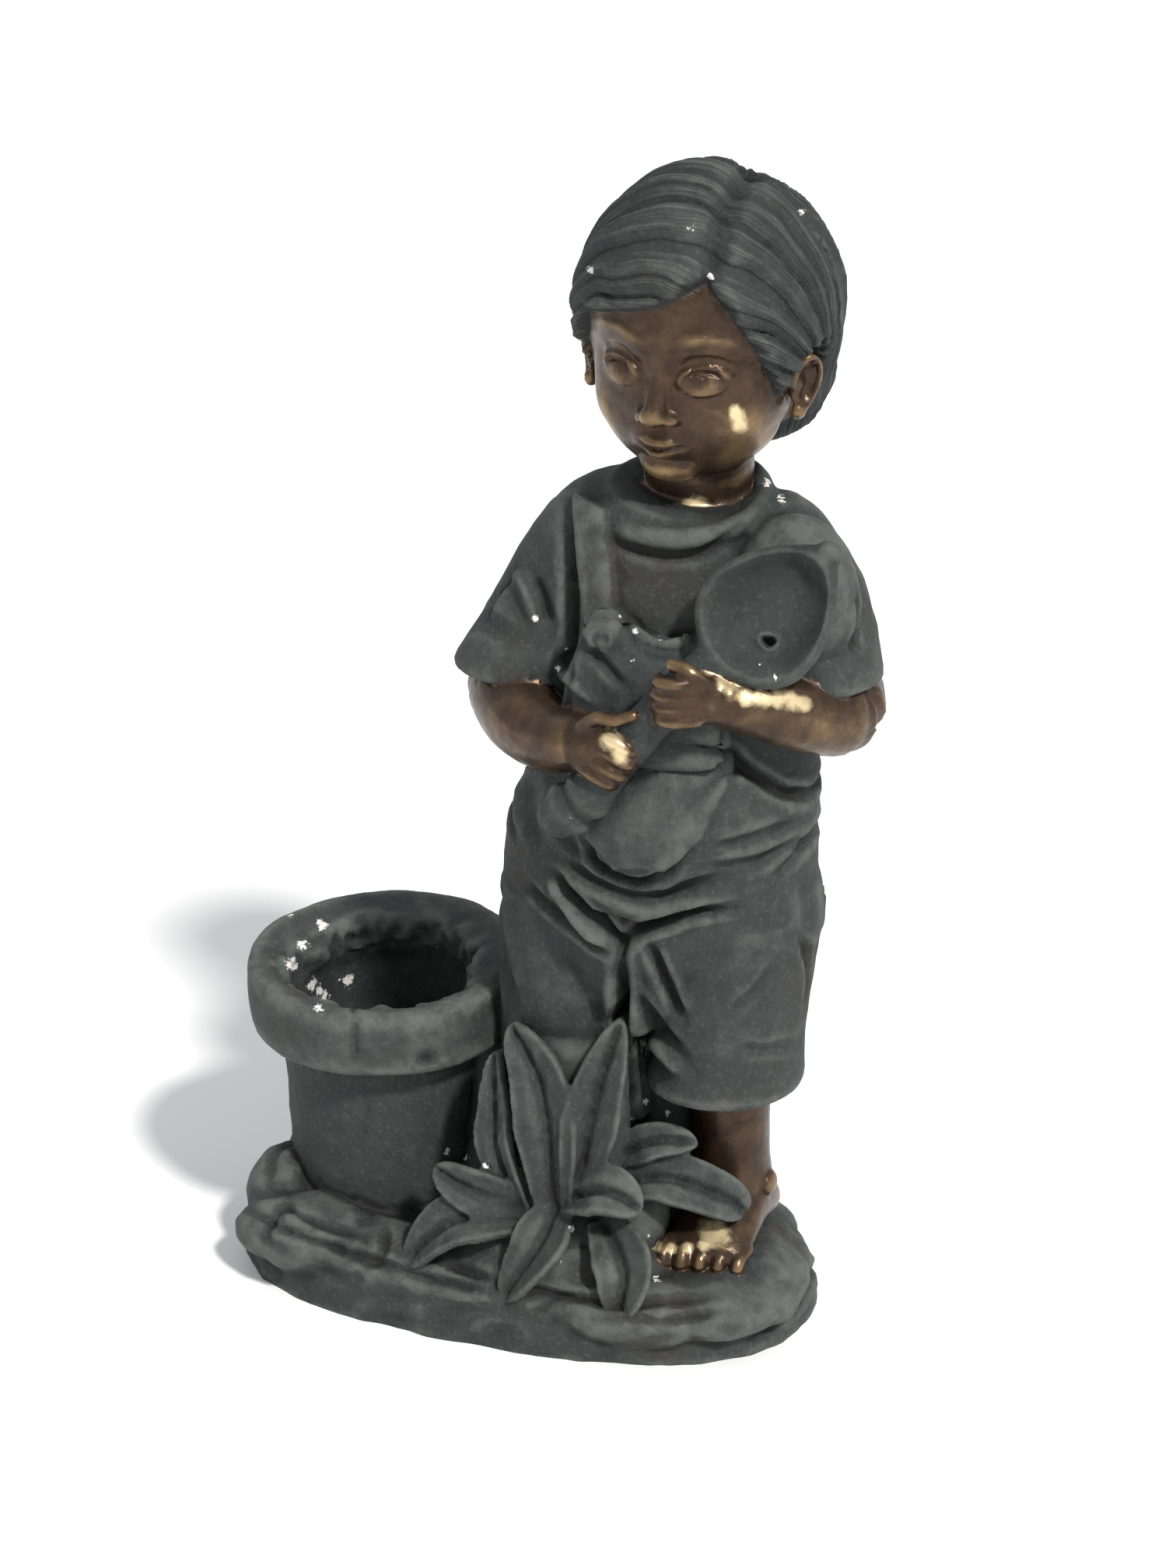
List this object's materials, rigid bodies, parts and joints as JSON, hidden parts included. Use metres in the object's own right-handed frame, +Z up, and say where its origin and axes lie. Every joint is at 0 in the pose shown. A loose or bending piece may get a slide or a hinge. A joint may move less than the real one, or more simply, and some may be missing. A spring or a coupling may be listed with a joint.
{
  "type": "garden statue of a boy beside a flower pot",
  "caption": "Cast garden statue of a small boy in overalls with a shovel, beside a hollow flower pot and a plant on a rocky base.",
  "frame": {"origin": "in the flat underside of the base, midway along its length and its depth", "axes": "+Z up along the standing figure, +X to the viewer's right along the base, the boy faces -Y"},
  "size_m": [0.2843, 0.1399, 0.4995],
  "materials": {
    "painted_plaster": "cast plaster painted matt slate green, the skin in rubbed dark bronze, with small white chips"
  },
  "bodies": {
    "root": {"boy_with_flower_pot": "painted_plaster"}
  },
  "joints": []
}
